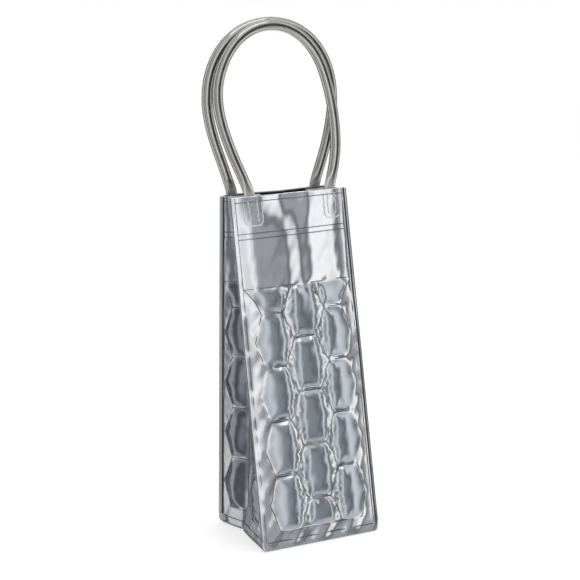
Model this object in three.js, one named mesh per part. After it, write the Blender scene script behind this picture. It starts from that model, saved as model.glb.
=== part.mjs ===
// Gel-walled wine bag: four quilted film walls, a base, a turned hem and two tube handles.
// Millimetres. Origin at the middle of the base underside, front wall towards -Y, +Z up.
import * as THREE from "three";

// ---- Overall sizes ----
const baseWidth = 98; // across the front wall at the base, seam fins included
const mouthWidth = 96; // the same at the mouth
const baseDepth = 88; // front wall to back wall, outside, at the base
const mouthDepth = 20; // the same at the mouth
const wallHeight = 265; // base underside to rim

// ---- Film stack ----
const film = 0.5; // one layer of film
const gap = 0.3; // left between neighbouring pieces
const fin = 3; // welded seam fin outside each upright corner
const basePlate = 0.8; // base panel thickness
const baseCornerRadius = 6;

// ---- Quilting ----
const cellTop = 196; // height of the line that closes the gel pockets at the top
const cellBottom = 13.5; // the same at the bottom
const cellFlat = 17; // length of the flat weld across a column
const columnPitch = 26; // from one column to the next
const outerPoint = 5.5; // how far the outermost cell points stand past the flats
const weldWidth = 1.4; // bare film along each weld
const wallGel = 2.8; // half thickness of a full pocket, front and back walls
const sideGel = 2.2; // half thickness of a full pocket, folded side walls
const cellRows = 4.5; // pitches between the bottom line and the top line

// ---- Hem and handles ----
const hemDrop = 32; // lower edge of the turned hem, below the rim
const hemWidth = 80;
const endWidth = 9.4; // flattened tube end
const endThickness = 1.6;
const endLength = 26;
const tubeOuter = 8;
const tubeInner = 5.4;
const tubeNeck = 14; // length over which the flat end opens out to the round tube
const footSpacing = 69; // between the two ends of one handle
const tubeGap = 0.8; // between the two tubes where they meet at the top
const frontLoop = { feet: 2, lean: -9.5, halfWidth: 46, waist: 62, rise: 124.5 };
const backLoop = { feet: -3.6, lean: -1.4, halfWidth: 51.5, waist: 68, rise: 127.3 };

// ---- Derived ----
const laminate = 2 * film + gap; // two films side by side
const flangeMid = laminate + gap + laminate / 2; // side wall flange, inside the front wall
const wallFoot = basePlate + gap;
const cellPitch = (cellTop - cellBottom) / cellRows;
const wallBulge = wallGel + gap / 2;
const sideBulge = sideGel + gap + 0.15;
const foldGap = laminate / 2 + film + gap + 0.15; // half the gap left inside a side fold
const neckBase = wallHeight + 1; // where the swinging part of each handle starts

const lerp = (a, b, t) => a + (b - a) * t;
const ramp = (t) => {
  const c = Math.min(1, Math.max(0, t));
  return c * c * (3 - 2 * c);
};
const halfDepth = (z) => lerp(baseDepth, mouthDepth, z / wallHeight) / 2;
const halfWidth = (z) => lerp(baseWidth, mouthWidth, z / wallHeight) / 2;

// ---- Looks of the CAD nodes ----
const looks = {
  pvc_film: { color: 0xaab0b8, roughness: 0.12, opacity: 0.55 },
  cooling_gel: { color: 0x8d96a3, roughness: 0.3, opacity: 0.8 },
  handle_tube: { color: 0xb4b4b0, roughness: 0.08, opacity: 0.6 },
};

const group = new THREE.Group();
group.name = "gel_wine_bag";

function addMesh(name, slot, geometry) {
  const look = looks[slot];
  const material = new THREE.MeshStandardMaterial({
    color: look.color,
    roughness: look.roughness,
    metalness: 0,
    transparent: true,
    opacity: look.opacity,
  });
  material.name = slot;
  geometry.computeVertexNormals();
  const mesh = new THREE.Mesh(geometry, material);
  mesh.name = name;
  group.add(mesh);
  return mesh;
}

// ---- Closed solids from grids of points ----
// Turns every face outwards: a negative volume means the triangles are inside out.
function closedGeometry(points, triangles) {
  let volume = 0;
  for (const [a, b, c] of triangles) {
    volume += points[a].dot(points[b].clone().cross(points[c]));
  }
  const geometry = new THREE.BufferGeometry();
  const flat = points.flatMap((p) => [p.x, p.y, p.z]);
  geometry.setAttribute("position", new THREE.Float32BufferAttribute(flat, 3));
  const order = triangles.flatMap(([a, b, c]) => (volume < 0 ? [a, c, b] : [a, b, c]));
  geometry.setIndex(order);
  return geometry;
}

// Two matching sheets of points, joined round their border.
function slab(rows, columns, pointA, pointB) {
  const points = [];
  for (const pointOf of [pointA, pointB]) {
    for (let j = 0; j < rows; j += 1) {
      for (let i = 0; i < columns; i += 1) {
        points.push(pointOf(i, j));
      }
    }
  }
  const half = rows * columns;
  const at = (i, j) => j * columns + i;
  const triangles = [];
  for (let j = 0; j < rows - 1; j += 1) {
    for (let i = 0; i < columns - 1; i += 1) {
      const [a, b, c, d] = [at(i, j), at(i + 1, j), at(i + 1, j + 1), at(i, j + 1)];
      triangles.push([a, b, c], [a, c, d]);
      triangles.push([half + a, half + c, half + b], [half + a, half + d, half + c]);
    }
  }
  const border = [];
  for (let i = 0; i < columns - 1; i += 1) {
    border.push([at(i, 0), at(i + 1, 0)]);
    border.push([at(i + 1, rows - 1), at(i, rows - 1)]);
  }
  for (let j = 0; j < rows - 1; j += 1) {
    border.push([at(columns - 1, j), at(columns - 1, j + 1)]);
    border.push([at(0, j + 1), at(0, j)]);
  }
  for (const [a, b] of border) {
    triangles.push([b, a, half + a], [b, half + a, half + b]);
  }
  return closedGeometry(points, triangles);
}

// ---- Front and back walls ----
// side is -1 for the front and +1 for the back; inward is measured from the outside face.
const wallPoint = (side, x, z, inward) => {
  return new THREE.Vector3(x, side * (halfDepth(z) - inward), z);
};

// 0 on the bare border of a wall, 1 over the gel.
const quiltReach = 1.5 * columnPitch + 0.9 * outerPoint;
function wallPuff(x, z) {
  const across = ramp((quiltReach - Math.abs(x)) / 8);
  const up = ramp((z - cellBottom + 4) / 7) * ramp((cellTop + 4 - z) / 7);
  return across * up;
}

const wallLevels = [
  wallFoot, cellBottom - 4, cellBottom - 1.5, cellBottom + 1, cellBottom + 3,
  cellTop - 3, cellTop - 1, cellTop + 1.5, cellTop + 4, wallHeight,
];
const puffSteps = [0, 2, 5, 8]; // in from the edge of the quilting
function wallLines(z) {
  const right = puffSteps.map((step) => quiltReach - step).reverse();
  right.push(halfWidth(z));
  return [...right.map((x) => -x).reverse(), ...right];
}

function wallFilm(name, side, near, direction) {
  const point = (depth) => (i, j) => {
    const z = wallLevels[j];
    const x = wallLines(z)[i];
    return wallPoint(side, x, z, depth + direction * wallBulge * wallPuff(x, z));
  };
  const columns = 2 * (puffSteps.length + 1);
  const sheet = slab(wallLevels.length, columns, point(near), point(near + film));
  addMesh(name, "pvc_film", sheet);
}

// ---- Folded side walls ----
// Each level is a curve from the front corner in to the fold and out to the back corner.
// inward: how deep the fold goes; shift: fold line off the middle; lead: angle at the corner.
const foldStations = [
  { z: 0, inward: 6, shift: 14, lead: 14 },
  { z: 94.6, inward: 19, shift: 1, lead: 28 },
  { z: 135.2, inward: 20, shift: 0, lead: 29 },
  { z: 200, inward: 22, shift: 0, lead: 26 },
  { z: 233, inward: 23, shift: 0, lead: 14 },
  { z: 265, inward: 24, shift: 0, lead: 10 },
];

function foldAt(z) {
  const height = (z * 265) / wallHeight;
  let k = 0;
  while (k < foldStations.length - 2 && height > foldStations[k + 1].z) {
    k += 1;
  }
  const [low, high] = [foldStations[k], foldStations[k + 1]];
  const t = (height - low.z) / (high.z - low.z);
  return {
    inward: lerp(low.inward, high.inward, t),
    shift: lerp(low.shift, high.shift, t) * (baseDepth / 88),
    lead: (lerp(low.lead, high.lead, t) * Math.PI) / 180,
  };
}

// Point on one half of the fold: end is -1 from the front corner, +1 from the back corner.
function foldHalf(z, end, t) {
  const fold = foldAt(z);
  const corner = end * (halfDepth(z) - flangeMid);
  const crease = fold.shift + end * foldGap;
  const leadX = Math.min(Math.abs(corner - crease) * Math.tan(fold.lead), 0.8 * fold.inward);
  return {
    x: 2 * t * (1 - t) * leadX + t * t * fold.inward,
    y: (1 - t) * (1 - t) * corner + (2 * t * (1 - t) + t * t) * crease,
  };
}

const foldShares = [0, 0.06, 0.12, 0.2, 0.32, 0.48, 0.6, 0.7, 0.85, 1];

// Middle line of the side wall at one level: {x: from the corner inwards, y}.
function foldLine(z, shares, withFlange) {
  const front = shares.map((t) => foldHalf(z, -1, t));
  const back = shares.map((t) => foldHalf(z, 1, t)).reverse();
  const fold = foldAt(z);
  const tip = { x: fold.inward + foldGap, y: fold.shift };
  const line = [...front, tip, ...back];
  if (withFlange) {
    line.unshift({ x: -fin, y: front[0].y });
    line.push({ x: -fin, y: back[back.length - 1].y });
  }
  return line;
}

// Pushes a polyline sideways; positive goes to the outside of the bag.
function offsetLine(line, distances) {
  return line.map((p, i) => {
    const before = line[Math.max(0, i - 1)];
    const after = line[Math.min(line.length - 1, i + 1)];
    const ahead = new THREE.Vector2(after.x - p.x, after.y - p.y);
    const behind = new THREE.Vector2(p.x - before.x, p.y - before.y);
    const first = (i === 0 ? ahead : behind).normalize();
    const last = (i === line.length - 1 ? behind : ahead).normalize();
    const normal = new THREE.Vector2(-first.y - last.y, first.x + last.x).normalize();
    const stretch = Math.min(1.4, 1 / Math.max(0.5, normal.dot(new THREE.Vector2(-first.y, first.x))));
    const move = distances[i] * stretch;
    return { x: p.x + normal.x * move, y: p.y + normal.y * move };
  });
}

// side is -1 for the left wall and +1 for the right.
const sidePoint = (side, p, z) => new THREE.Vector3(side * (halfWidth(z) - fin - p.x), p.y, z);

// How far along a half the gel reaches before the two halves come too close.
function sideReach(z, end) {
  const fold = foldAt(z);
  const run = Math.abs(end * (halfDepth(z) - flangeMid) - fold.shift) - foldGap;
  const need = sideBulge + laminate / 2 + gap - foldGap;
  return 1 - Math.sqrt(Math.max(0.02, need / run));
}

function sidePuff(t, z, end) {
  const reach = sideReach(z, end);
  const across = ramp((t - 0.06) / 0.12) * ramp((reach + 0.08 - t) / 0.12);
  const up = ramp((z - cellBottom + 4) / 7) * ramp((cellTop + 4 - z) / 7);
  return across * up;
}

const sideLevels = [
  wallFoot,
  cellBottom - 3,
  cellBottom + 3,
  ...[0.5, 1, 1.5, 2, 2.5, 3, 3.5, 4].map((turns) => cellBottom + turns * cellPitch),
  cellTop - 3,
  cellTop + 3,
  wallHeight - hemDrop,
  wallHeight,
];

function sideFilm(name, side, direction) {
  const near = direction * (gap / 2);
  const far = direction * (gap / 2 + film);
  const levels = sideLevels.map((z) => {
    const line = foldLine(z, foldShares, true);
    const halves = foldShares.length;
    const puff = line.map((p, i) => {
      if (i === 0 || i === line.length - 1 || i === halves + 1) {
        return 0;
      }
      const end = i <= halves ? -1 : 1;
      const share = end < 0 ? foldShares[i - 1] : foldShares[line.length - 2 - i];
      return sidePuff(share, z, end) * sideBulge * direction;
    });
    const near3 = offsetLine(line, puff.map((v) => v + near));
    const far3 = offsetLine(line, puff.map((v) => v + far));
    return { z, near3, far3 };
  });
  const count = levels[0].near3.length;
  const pointNear = (i, j) => sidePoint(side, levels[j].near3[i], levels[j].z);
  const pointFar = (i, j) => sidePoint(side, levels[j].far3[i], levels[j].z);
  addMesh(name, "pvc_film", slab(levels.length, count, pointNear, pointFar));
}

// ---- Gel columns ----
// Heights at which a column is cut by a flat weld, bottom and top lines included.
function weldHeights(startsOnFlat) {
  const heights = [cellBottom];
  const first = cellBottom + (startsOnFlat ? cellPitch : cellPitch / 2);
  for (let z = first; z < cellTop - 1; z += cellPitch) {
    heights.push(z);
  }
  heights.push(cellTop);
  return heights;
}

// Levels of one gel column: {z, spread 0..1 between flat and point, full 0..1 thickness}.
function columnLevels(startsOnFlat) {
  const welds = weldHeights(startsOnFlat);
  const phase = startsOnFlat ? 0 : 0.5;
  const spread = (z) => {
    const turns = (z - cellBottom) / cellPitch + phase;
    const off = Math.abs(turns - Math.round(turns));
    return 2 * off;
  };
  const levels = [];
  const add = (z, full) => levels.push({ z, spread: spread(z), full });
  welds.slice(0, -1).forEach((low, k) => {
    const high = welds[k + 1];
    const lift = k === 0 ? weldWidth : 0;
    const drop = k === welds.length - 2 ? weldWidth : 0;
    add(low + lift, 0);
    add(low + 3.5, 1);
    if (high - low > 0.8 * cellPitch) {
      add((low + high) / 2, 1);
    }
    add(high - 3.5, 1);
    if (drop > 0) {
      add(high - drop, 0);
    }
  });
  return levels;
}

const gelShares = [0, 0.16, 0.5, 0.84, 1];
const gelFull = [0, 1, 1, 1, 0];
const gelEdge = 0.4;
const gelThickness = (full, across, most) => lerp(gelEdge, most, Math.min(full, across));

function wallGelColumn(name, side, column) {
  const centre = column * columnPitch;
  const levels = columnLevels(column !== 0);
  const pointReach = columnPitch - cellFlat;
  const point = (direction) => (i, j) => {
    const level = levels[j];
    const left = column < 0 ? outerPoint : pointReach;
    const right = column > 0 ? outerPoint : pointReach;
    const x0 = centre - cellFlat / 2 - left * level.spread + weldWidth / 2;
    const x1 = centre + cellFlat / 2 + right * level.spread - weldWidth / 2;
    const x = lerp(x0, x1, gelShares[i]);
    const thick = gelThickness(level.full, gelFull[i], wallGel);
    return wallPoint(side, x, level.z, laminate / 2 + direction * thick);
  };
  addMesh(name, "cooling_gel", slab(levels.length, gelShares.length, point(-1), point(1)));
}

function sideGelColumn(name, side, end) {
  const levels = columnLevels(true);
  const point = (direction) => (i, j) => {
    const level = levels[j];
    const inset = lerp(0.26, 0.16, level.spread);
    const share = lerp(inset, sideReach(level.z, end) - 0.03, gelShares[i]);
    const thick = gelThickness(level.full, gelFull[i], sideGel);
    const step = 0.01;
    const p = foldHalf(level.z, end, share);
    const q = foldHalf(level.z, end, share + step);
    const along = new THREE.Vector2(q.x - p.x, q.y - p.y).normalize();
    const moved = {
      x: p.x - end * direction * thick * along.y,
      y: p.y + end * direction * thick * along.x,
    };
    return sidePoint(side, moved, level.z);
  };
  addMesh(name, "cooling_gel", slab(levels.length, gelShares.length, point(-1), point(1)));
}

// ---- Hem ----
const feetOf = (loop) => [loop.feet - footSpacing / 2, loop.feet + footSpacing / 2];
const hemLevels = [wallHeight - hemDrop, wallHeight - gap];

// The hem lies on the inner film and steps over the two flattened handle ends.
function hemInward(x, loop) {
  const near = Math.min(...feetOf(loop).map((foot) => Math.abs(x - foot)));
  return laminate + gap + (endThickness + gap) * ramp((endWidth / 2 + 2.3 - near) / 1.7);
}

function wallHem(name, side, loop) {
  const stops = [-hemWidth / 2, hemWidth / 2];
  for (const foot of feetOf(loop)) {
    for (const edge of [-1, 1]) {
      stops.push(foot + edge * (endWidth / 2 + 0.5), foot + edge * (endWidth / 2 + 2.4));
    }
  }
  const inside = stops.filter((x) => Math.abs(x) <= hemWidth / 2).sort((a, b) => a - b);
  const point = (extra) => (i, j) => {
    return wallPoint(side, inside[i], hemLevels[j], hemInward(inside[i], loop) + extra);
  };
  addMesh(name, "pvc_film", slab(hemLevels.length, inside.length, point(0), point(film)));
}

function sideHem(name, side) {
  const shares = [0.48, 0.6, 0.7, 0.85, 1];
  const near = laminate / 2 + gap;
  const levels = hemLevels.map((z) => {
    const line = foldLine(z, shares, false);
    const push = (distance) => offsetLine(line, line.map(() => -distance));
    return { z, near3: push(near), far3: push(near + film) };
  });
  const count = levels[0].near3.length;
  const pointNear = (i, j) => sidePoint(side, levels[j].near3[i], levels[j].z);
  const pointFar = (i, j) => sidePoint(side, levels[j].far3[i], levels[j].z);
  addMesh(name, "pvc_film", slab(levels.length, count, pointNear, pointFar));
}

// ---- Flattened handle ends, welded into the hem ----
function handleEnd(name, side, foot) {
  const top = wallHeight + 0.7;
  const levels = [
    { z: top, half: endWidth / 2 },
    { z: top - endLength + 4, half: endWidth / 2 },
    { z: top - endLength + 1.2, half: endWidth / 2 - 1.2 },
    { z: top - endLength, half: endWidth / 2 - 3.2 },
  ];
  const point = (extra) => (i, j) => {
    const x = foot + (i === 0 ? -1 : 1) * levels[j].half;
    return wallPoint(side, x, levels[j].z, laminate + gap + extra);
  };
  addMesh(name, "handle_tube", slab(levels.length, 2, point(0), point(endThickness)));
}

// ---- Tube handles ----
class LoopCurve extends THREE.Curve {
  constructor(side, loop) {
    super();
    this.side = side;
    this.loop = loop;
  }

  // The right half of the loop, foot to apex, then mirrored.
  getPoint(t, target = new THREE.Vector3()) {
    const { feet, lean, halfWidth: widest, waist, rise } = this.loop;
    const part = 2 * Math.min(t, 1 - t);
    const foot = footSpacing / 2;
    let x;
    let h;
    if (part < 0.5) {
      const c = new THREE.CubicBezierCurve(
        new THREE.Vector2(foot, 0),
        new THREE.Vector2(foot + 0.3 * 0.35 * waist, 0.35 * waist),
        new THREE.Vector2(widest, 0.68 * waist),
        new THREE.Vector2(widest, waist),
      ).getPoint(part * 2);
      [x, h] = [c.x, c.y];
    } else {
      const c = new THREE.CubicBezierCurve(
        new THREE.Vector2(widest, waist),
        new THREE.Vector2(widest, waist + 0.58 * (rise - waist)),
        new THREE.Vector2(0.58 * widest, rise),
        new THREE.Vector2(0, rise),
      ).getPoint(part * 2 - 1);
      [x, h] = [c.x, c.y];
    }
    const footY = mouthDepth / 2 - (laminate + gap + endThickness / 2);
    const topY = (tubeOuter + tubeGap) / 2;
    const y = lerp(footY, topY, ramp(h / rise));
    const sign = t < 0.5 ? -1 : 1;
    const drift = feet + lean * ramp(h / (1.4 * waist));
    return target.set(sign * x + drift, this.side * y, neckBase + h);
  }
}

function handleTube(name, side, loop) {
  const curve = new LoopCurve(side, loop);
  const length = curve.getLength();
  const stops = [0, 3, 7, tubeNeck];
  const steps = 30;
  const round = length - 2 * tubeNeck;
  const middle = Array.from({ length: steps - 1 }, (_, k) => {
    return (tubeNeck + (round * (k + 1)) / steps) / length;
  });
  const shares = [
    ...stops.map((s) => s / length),
    ...middle,
    ...stops.map((s) => 1 - s / length).reverse(),
  ];
  const sides = 10;
  const points = [];
  const triangles = [];
  const ring = (share, bore) => {
    const t = curve.getUtoTmapping(share);
    const centre = curve.getPoint(t);
    const ahead = curve.getTangent(t);
    const atFoot = Math.min(share, 1 - share) * length < 0.01;
    const along = atFoot ? new THREE.Vector3(0, 0, share < 0.5 ? 1 : -1) : ahead;
    const flatWay = new THREE.Vector3(0, 1, 0).cross(along).normalize();
    const thickWay = along.clone().cross(flatWay).normalize();
    const open = ramp((Math.min(share, 1 - share) * length) / tubeNeck);
    const wide = lerp(endWidth, tubeOuter, open) / 2;
    const thick = lerp(endThickness, tubeOuter, open) / 2;
    const wall = (tubeOuter - tubeInner) / 2;
    const rx = bore ? lerp(wide - wall, tubeInner / 2, open) : wide;
    const ry = bore ? lerp(thick - 0.55, tubeInner / 2, open) : thick;
    for (let k = 0; k < sides; k += 1) {
      const a = (2 * Math.PI * k) / sides;
      const p = centre.clone().addScaledVector(flatWay, rx * Math.cos(a));
      points.push(p.addScaledVector(thickWay, ry * Math.sin(a)));
    }
  };
  for (const bore of [false, true]) {
    shares.forEach((share) => ring(share, bore));
  }
  const inner = shares.length * sides;
  const at = (j, k) => j * sides + (k % sides);
  for (let j = 0; j < shares.length - 1; j += 1) {
    for (let k = 0; k < sides; k += 1) {
      const [a, b, c, d] = [at(j, k), at(j, k + 1), at(j + 1, k + 1), at(j + 1, k)];
      triangles.push([a, b, c], [a, c, d]);
      triangles.push([inner + a, inner + c, inner + b], [inner + a, inner + d, inner + c]);
    }
  }
  for (const [j, turn] of [[0, false], [shares.length - 1, true]]) {
    for (let k = 0; k < sides; k += 1) {
      const [a, b] = turn ? [at(j, k + 1), at(j, k)] : [at(j, k), at(j, k + 1)];
      triangles.push([b, a, inner + a], [b, inner + a, inner + b]);
    }
  }
  addMesh(name, "handle_tube", closedGeometry(points, triangles));
}

// ---- Base ----
// The outline runs along the front, round a seam fin, in and out along the side fold, and so on.
function basePanel() {
  const w = halfWidth(0);
  const d = halfDepth(0);
  const r = baseCornerRadius / 2;
  const stack = flangeMid + laminate / 2;
  const right = foldLine(wallFoot, foldShares, false).map((p) => {
    return new THREE.Vector2(w - fin - p.x + laminate / 2, p.y);
  });
  const left = right.map((p) => new THREE.Vector2(-p.x, p.y)).reverse();
  const shape = new THREE.Shape();
  shape.moveTo(-w + r, -d);
  shape.lineTo(w - r, -d);
  shape.quadraticCurveTo(w, -d, w, -d + stack);
  right.forEach((p) => shape.lineTo(p.x, p.y));
  shape.lineTo(w, d - stack);
  shape.quadraticCurveTo(w, d, w - r, d);
  shape.lineTo(-w + r, d);
  shape.quadraticCurveTo(-w, d, -w, d - stack);
  left.forEach((p) => shape.lineTo(p.x, p.y));
  shape.lineTo(-w, -d + stack);
  shape.quadraticCurveTo(-w, -d, -w + r, -d);
  const settings = { depth: basePlate, bevelEnabled: false, curveSegments: 4 };
  addMesh("base_panel", "pvc_film", new THREE.ExtrudeGeometry(shape, settings));
}

// ---- Assembly ----
basePanel();
for (const [wall, side, loop] of [["front", -1, frontLoop], ["back", 1, backLoop]]) {
  wallFilm(`${wall}_outer_film`, side, 0, -1);
  wallFilm(`${wall}_inner_film`, side, film + gap, 1);
  for (const [label, column] of [["left", -1], ["middle", 0], ["right", 1]]) {
    wallGelColumn(`${wall}_gel_${label}`, side, column);
  }
  wallHem(`${wall}_hem`, side, loop);
  const [left, right] = feetOf(loop);
  handleEnd(`${wall}_handle_left_end`, side, left);
  handleEnd(`${wall}_handle_right_end`, side, right);
  handleTube(`${wall}_handle_tube`, side, loop);
}
for (const [wall, side] of [["left", -1], ["right", 1]]) {
  sideFilm(`${wall}_outer_film`, side, 1);
  sideFilm(`${wall}_inner_film`, side, -1);
  sideGelColumn(`${wall}_gel_front`, side, -1);
  sideGelColumn(`${wall}_gel_back`, side, 1);
  sideHem(`${wall}_hem`, side);
}

export default group;
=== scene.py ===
# %% [markdown]
# # A wine gift bag of quilted clear film
# The real bag is four panels of smoky clear vinyl, welded along their edges,
# with gel sealed between two films in tall six-sided cells.  Two loops of
# clear tube are the handles.  It is rebuilt here piece by piece, in the same
# frame as its measured model, so that each piece can move with its own part.

import math

import bmesh
import bpy
import numpy as np
from mathutils import Matrix, Vector


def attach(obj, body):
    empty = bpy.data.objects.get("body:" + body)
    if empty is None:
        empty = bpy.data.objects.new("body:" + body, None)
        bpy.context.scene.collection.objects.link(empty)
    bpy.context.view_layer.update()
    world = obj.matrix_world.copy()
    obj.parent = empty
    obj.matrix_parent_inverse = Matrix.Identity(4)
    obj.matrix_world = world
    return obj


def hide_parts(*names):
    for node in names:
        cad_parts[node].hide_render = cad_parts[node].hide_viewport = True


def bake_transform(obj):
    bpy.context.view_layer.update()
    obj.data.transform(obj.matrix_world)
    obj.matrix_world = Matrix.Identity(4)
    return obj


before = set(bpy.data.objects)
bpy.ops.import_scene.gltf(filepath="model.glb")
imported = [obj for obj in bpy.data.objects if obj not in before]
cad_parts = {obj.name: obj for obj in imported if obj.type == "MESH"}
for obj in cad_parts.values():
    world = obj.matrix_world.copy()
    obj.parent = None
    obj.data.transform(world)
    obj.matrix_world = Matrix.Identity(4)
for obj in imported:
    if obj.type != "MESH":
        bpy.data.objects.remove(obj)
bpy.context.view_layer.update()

# %% [markdown]
# ## Where the viewer stands
# The bag is seen from a little above and from its left, so that the front
# and the folded left side both show.  A long lens keeps the bag's upright
# edges nearly parallel.  The camera's three axes are worked out one by one,
# because it is also rolled by a small angle, as a hand-held one is.

# %% Camera
MM = 0.001
azimuth, elevation, roll = map(math.radians, (-24.5, 10.6, -2.43))
distance, aim = 1253 * MM, Vector((2.0, 0.0, 188.3)) * MM
back = Vector((
    math.sin(azimuth) * math.cos(elevation),
    -math.cos(azimuth) * math.cos(elevation),
    math.sin(elevation),
))
level_right = (-back).cross(Vector((0, 0, 1))).normalized()
level_up = level_right.cross(-back)
right = level_right * math.cos(roll) + level_up * math.sin(roll)
up = level_up * math.cos(roll) - level_right * math.sin(roll)

frame_side, focal_length, sensor = 580, 1638, 36.0
camera_data = bpy.data.cameras.new("camera")
camera_data.sensor_width = sensor
camera_data.lens = focal_length / frame_side * sensor
camera = bpy.data.objects.new("camera", camera_data)
turn = Matrix((right, up, back)).transposed().to_4x4()
camera.matrix_world = Matrix.Translation(aim + back * distance) @ turn
bpy.context.scene.collection.objects.link(camera)
bpy.context.scene.camera = camera
print("camera lens", round(camera_data.lens, 1), "mm at", camera.location[:])

# %% [markdown]
# ## Writing shader maths as sums
# A material is a graph of nodes.  Wiring each node by hand hides the idea, so
# one small class wraps a socket and lets Python's own signs add the Math
# nodes.  Every other kind of node comes from one method.

# %% A socket that can be added and multiplied
class Wire:
    """One output socket, with arithmetic."""

    def __init__(self, finish, socket):
        self.finish, self.socket = finish, socket

    def _math(self, operation, *values):
        settings = {"operation": operation}
        return self.finish.node("ShaderNodeMath", settings, dict(enumerate(values)))

    def __add__(self, other):
        return self._math("ADD", self, other)

    def __radd__(self, other):
        return self._math("ADD", other, self)

    def __sub__(self, other):
        return self._math("SUBTRACT", self, other)

    def __rsub__(self, other):
        return self._math("SUBTRACT", other, self)

    def __mul__(self, other):
        return self._math("MULTIPLY", self, other)

    def __rmul__(self, other):
        return self._math("MULTIPLY", other, self)

    def smooth(self, low, high):
        """0 below low, 1 above high, with a soft step between."""
        settings = {"interpolation_type": "SMOOTHSTEP"}
        sockets = {"Value": self, "From Min": low, "From Max": high}
        return self.finish.node("ShaderNodeMapRange", settings, sockets)


# %% A finish: a node tree with one way to add a node
class Finish:
    """The node tree of a material or of the world."""

    def __init__(self, owner):
        owner.use_nodes = True
        self.owner, self.tree = owner, owner.node_tree
        self.tree.nodes.clear()

    def node(self, kind, settings=None, sockets=None, out=0):
        """Add a node, set or wire its sockets, and give back one of its outputs."""
        made = self.tree.nodes.new(kind)
        for name, value in (settings or {}).items():
            setattr(made, name, value)
        for name, value in (sockets or {}).items():
            if isinstance(value, Wire):
                self.tree.links.new(value.socket, made.inputs[name])
            else:
                made.inputs[name].default_value = value
        return Wire(self, made.outputs[out]) if made.outputs else made


def rgb(red, green, blue):
    """A colour given as 0-255 on a screen, as the linear light that it means."""
    def linear(value):
        value /= 255
        return value / 12.92 if value < 0.04045 else ((value + 0.055) / 1.055) ** 2.4
    return (linear(red), linear(green), linear(blue), 1.0)


print("shader helpers ready")

# %% [markdown]
# ## The studio
# The bag stands on a plain white floor that runs out of sight.  Film shows
# hardly any colour of its own: it shows the room.  So the room is what makes
# it look like film.  It is soft and white, with darker upright walls ahead and
# at the sides, and a warm bright panel and a tall soft light on each hand.

# %% The white floor
bpy.context.scene.view_settings.view_transform = "Standard"
floor_mesh = bpy.data.meshes.new("floor")
reach = 120.0
floor_corners = [(-reach, -reach), (reach, -reach), (reach, reach), (-reach, reach)]
floor_drop = -0.0002
floor_mesh.from_pydata(
    [(x, y, floor_drop) for x, y in floor_corners], [], [(0, 1, 2, 3)]
)
floor = bpy.data.objects.new("floor", floor_mesh)
bpy.context.scene.collection.objects.link(floor)
paper = Finish(bpy.data.materials.new("white_paper"))
glossy_ray = paper.node("ShaderNodeLightPath", out="Is Glossy Ray")
soft_white = paper.node("ShaderNodeBsdfDiffuse", None, {"Color": (0.9, 0.9, 0.9, 1)})
glow = paper.node("ShaderNodeEmission", None, {"Color": (1, 1, 1, 1), "Strength": 0.35})
both = paper.node("ShaderNodeAddShader", None, {0: soft_white, 1: glow})
clear_away = paper.node("ShaderNodeBsdfTransparent")
surface = paper.node("ShaderNodeMixShader", None, {0: glossy_ray, 1: both, 2: clear_away})
paper.node("ShaderNodeOutputMaterial", None, {"Surface": surface})
floor_mesh.materials.append(paper.owner)
print("floor", 2 * reach, "m wide")

# %% The soft room and its darker walls
world = bpy.data.worlds.new("room")
bpy.context.scene.world = world
room = Finish(world)
toward = room.node("ShaderNodeTexCoord")
level_way = room.node("ShaderNodeVectorMath", {"operation": "MULTIPLY"},
                      {0: toward, 1: (1, 1, 0)})
level_way = room.node("ShaderNodeVectorMath", {"operation": "NORMALIZE"}, {0: level_way})
height = room.node("ShaderNodeSeparateXYZ", None, {0: toward}, out="Z")


def lobe(heading_deg, outer_deg, inner_deg):
    """1 toward a heading and straight behind it, 0 elsewhere, soft between."""
    turned = math.radians(heading_deg)
    along = room.node("ShaderNodeVectorMath", {"operation": "DOT_PRODUCT"},
                      {0: level_way, 1: (math.sin(turned), -math.cos(turned), 0.0)}, out="Value")
    low, high = (math.cos(math.radians(d)) ** 2 for d in (outer_deg, inner_deg))
    return (along * along).smooth(low, high)


grey_wall, dark_door = lobe(24.5, 24, 10), lobe(34, 9, 3)
side_wall = lobe(105, 27, 12)
panel_left, panel_right = lobe(-19, 25, 13), lobe(58, 20, 10)
aloft = (height * height).smooth(0.35, 0.8)
shape = 0.62 + 0.42 * panel_left + 0.5 * panel_right - 0.29 * grey_wall - 0.3 * dark_door
shape = shape - 0.46 * side_wall
brightness = shape * (1 - aloft) + 0.9 * aloft
cool, warm = (0.95, 0.975, 1.0), (1.0, 0.985, 0.95)
tint = room.node("ShaderNodeMix", {"data_type": "RGBA"},
                 {0: panel_left + panel_right, 6: (*cool, 1), 7: (*warm, 1)}, out=2)
light = room.node("ShaderNodeBackground", None, {"Color": tint, "Strength": brightness})
white = room.node("ShaderNodeBackground", None, {"Color": (1, 1, 1, 1), "Strength": 1.1})
view_ray = room.node("ShaderNodeLightPath", out="Is Camera Ray")
sky = room.node("ShaderNodeMixShader", None, {0: view_ray, 1: light, 2: white})
room.node("ShaderNodeOutputWorld", None, {"Surface": sky})
print("the room has three darker walls and two brighter panels")


# %% Two tall soft lights and one overhead
def soft_light(name, heading_deg, away, size, rise, power):
    """An area light that looks at the bag and that only the film can see."""
    lamp = bpy.data.lights.new(name, "AREA")
    lamp.shape, (lamp.size, lamp.size_y) = "RECTANGLE", size
    lamp.energy, lamp.color = power, warm
    turned = math.radians(heading_deg)
    place = Vector((math.sin(turned) * away, -math.cos(turned) * away, rise))
    holder = bpy.data.objects.new(name, lamp)
    target = Vector((0, 0, 0.17))
    holder.matrix_world = (
        Matrix.Translation(place) @ (place - target).to_track_quat("Z", "Y").to_matrix().to_4x4()
    )
    holder.visible_camera = False
    bpy.context.scene.collection.objects.link(holder)


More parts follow.
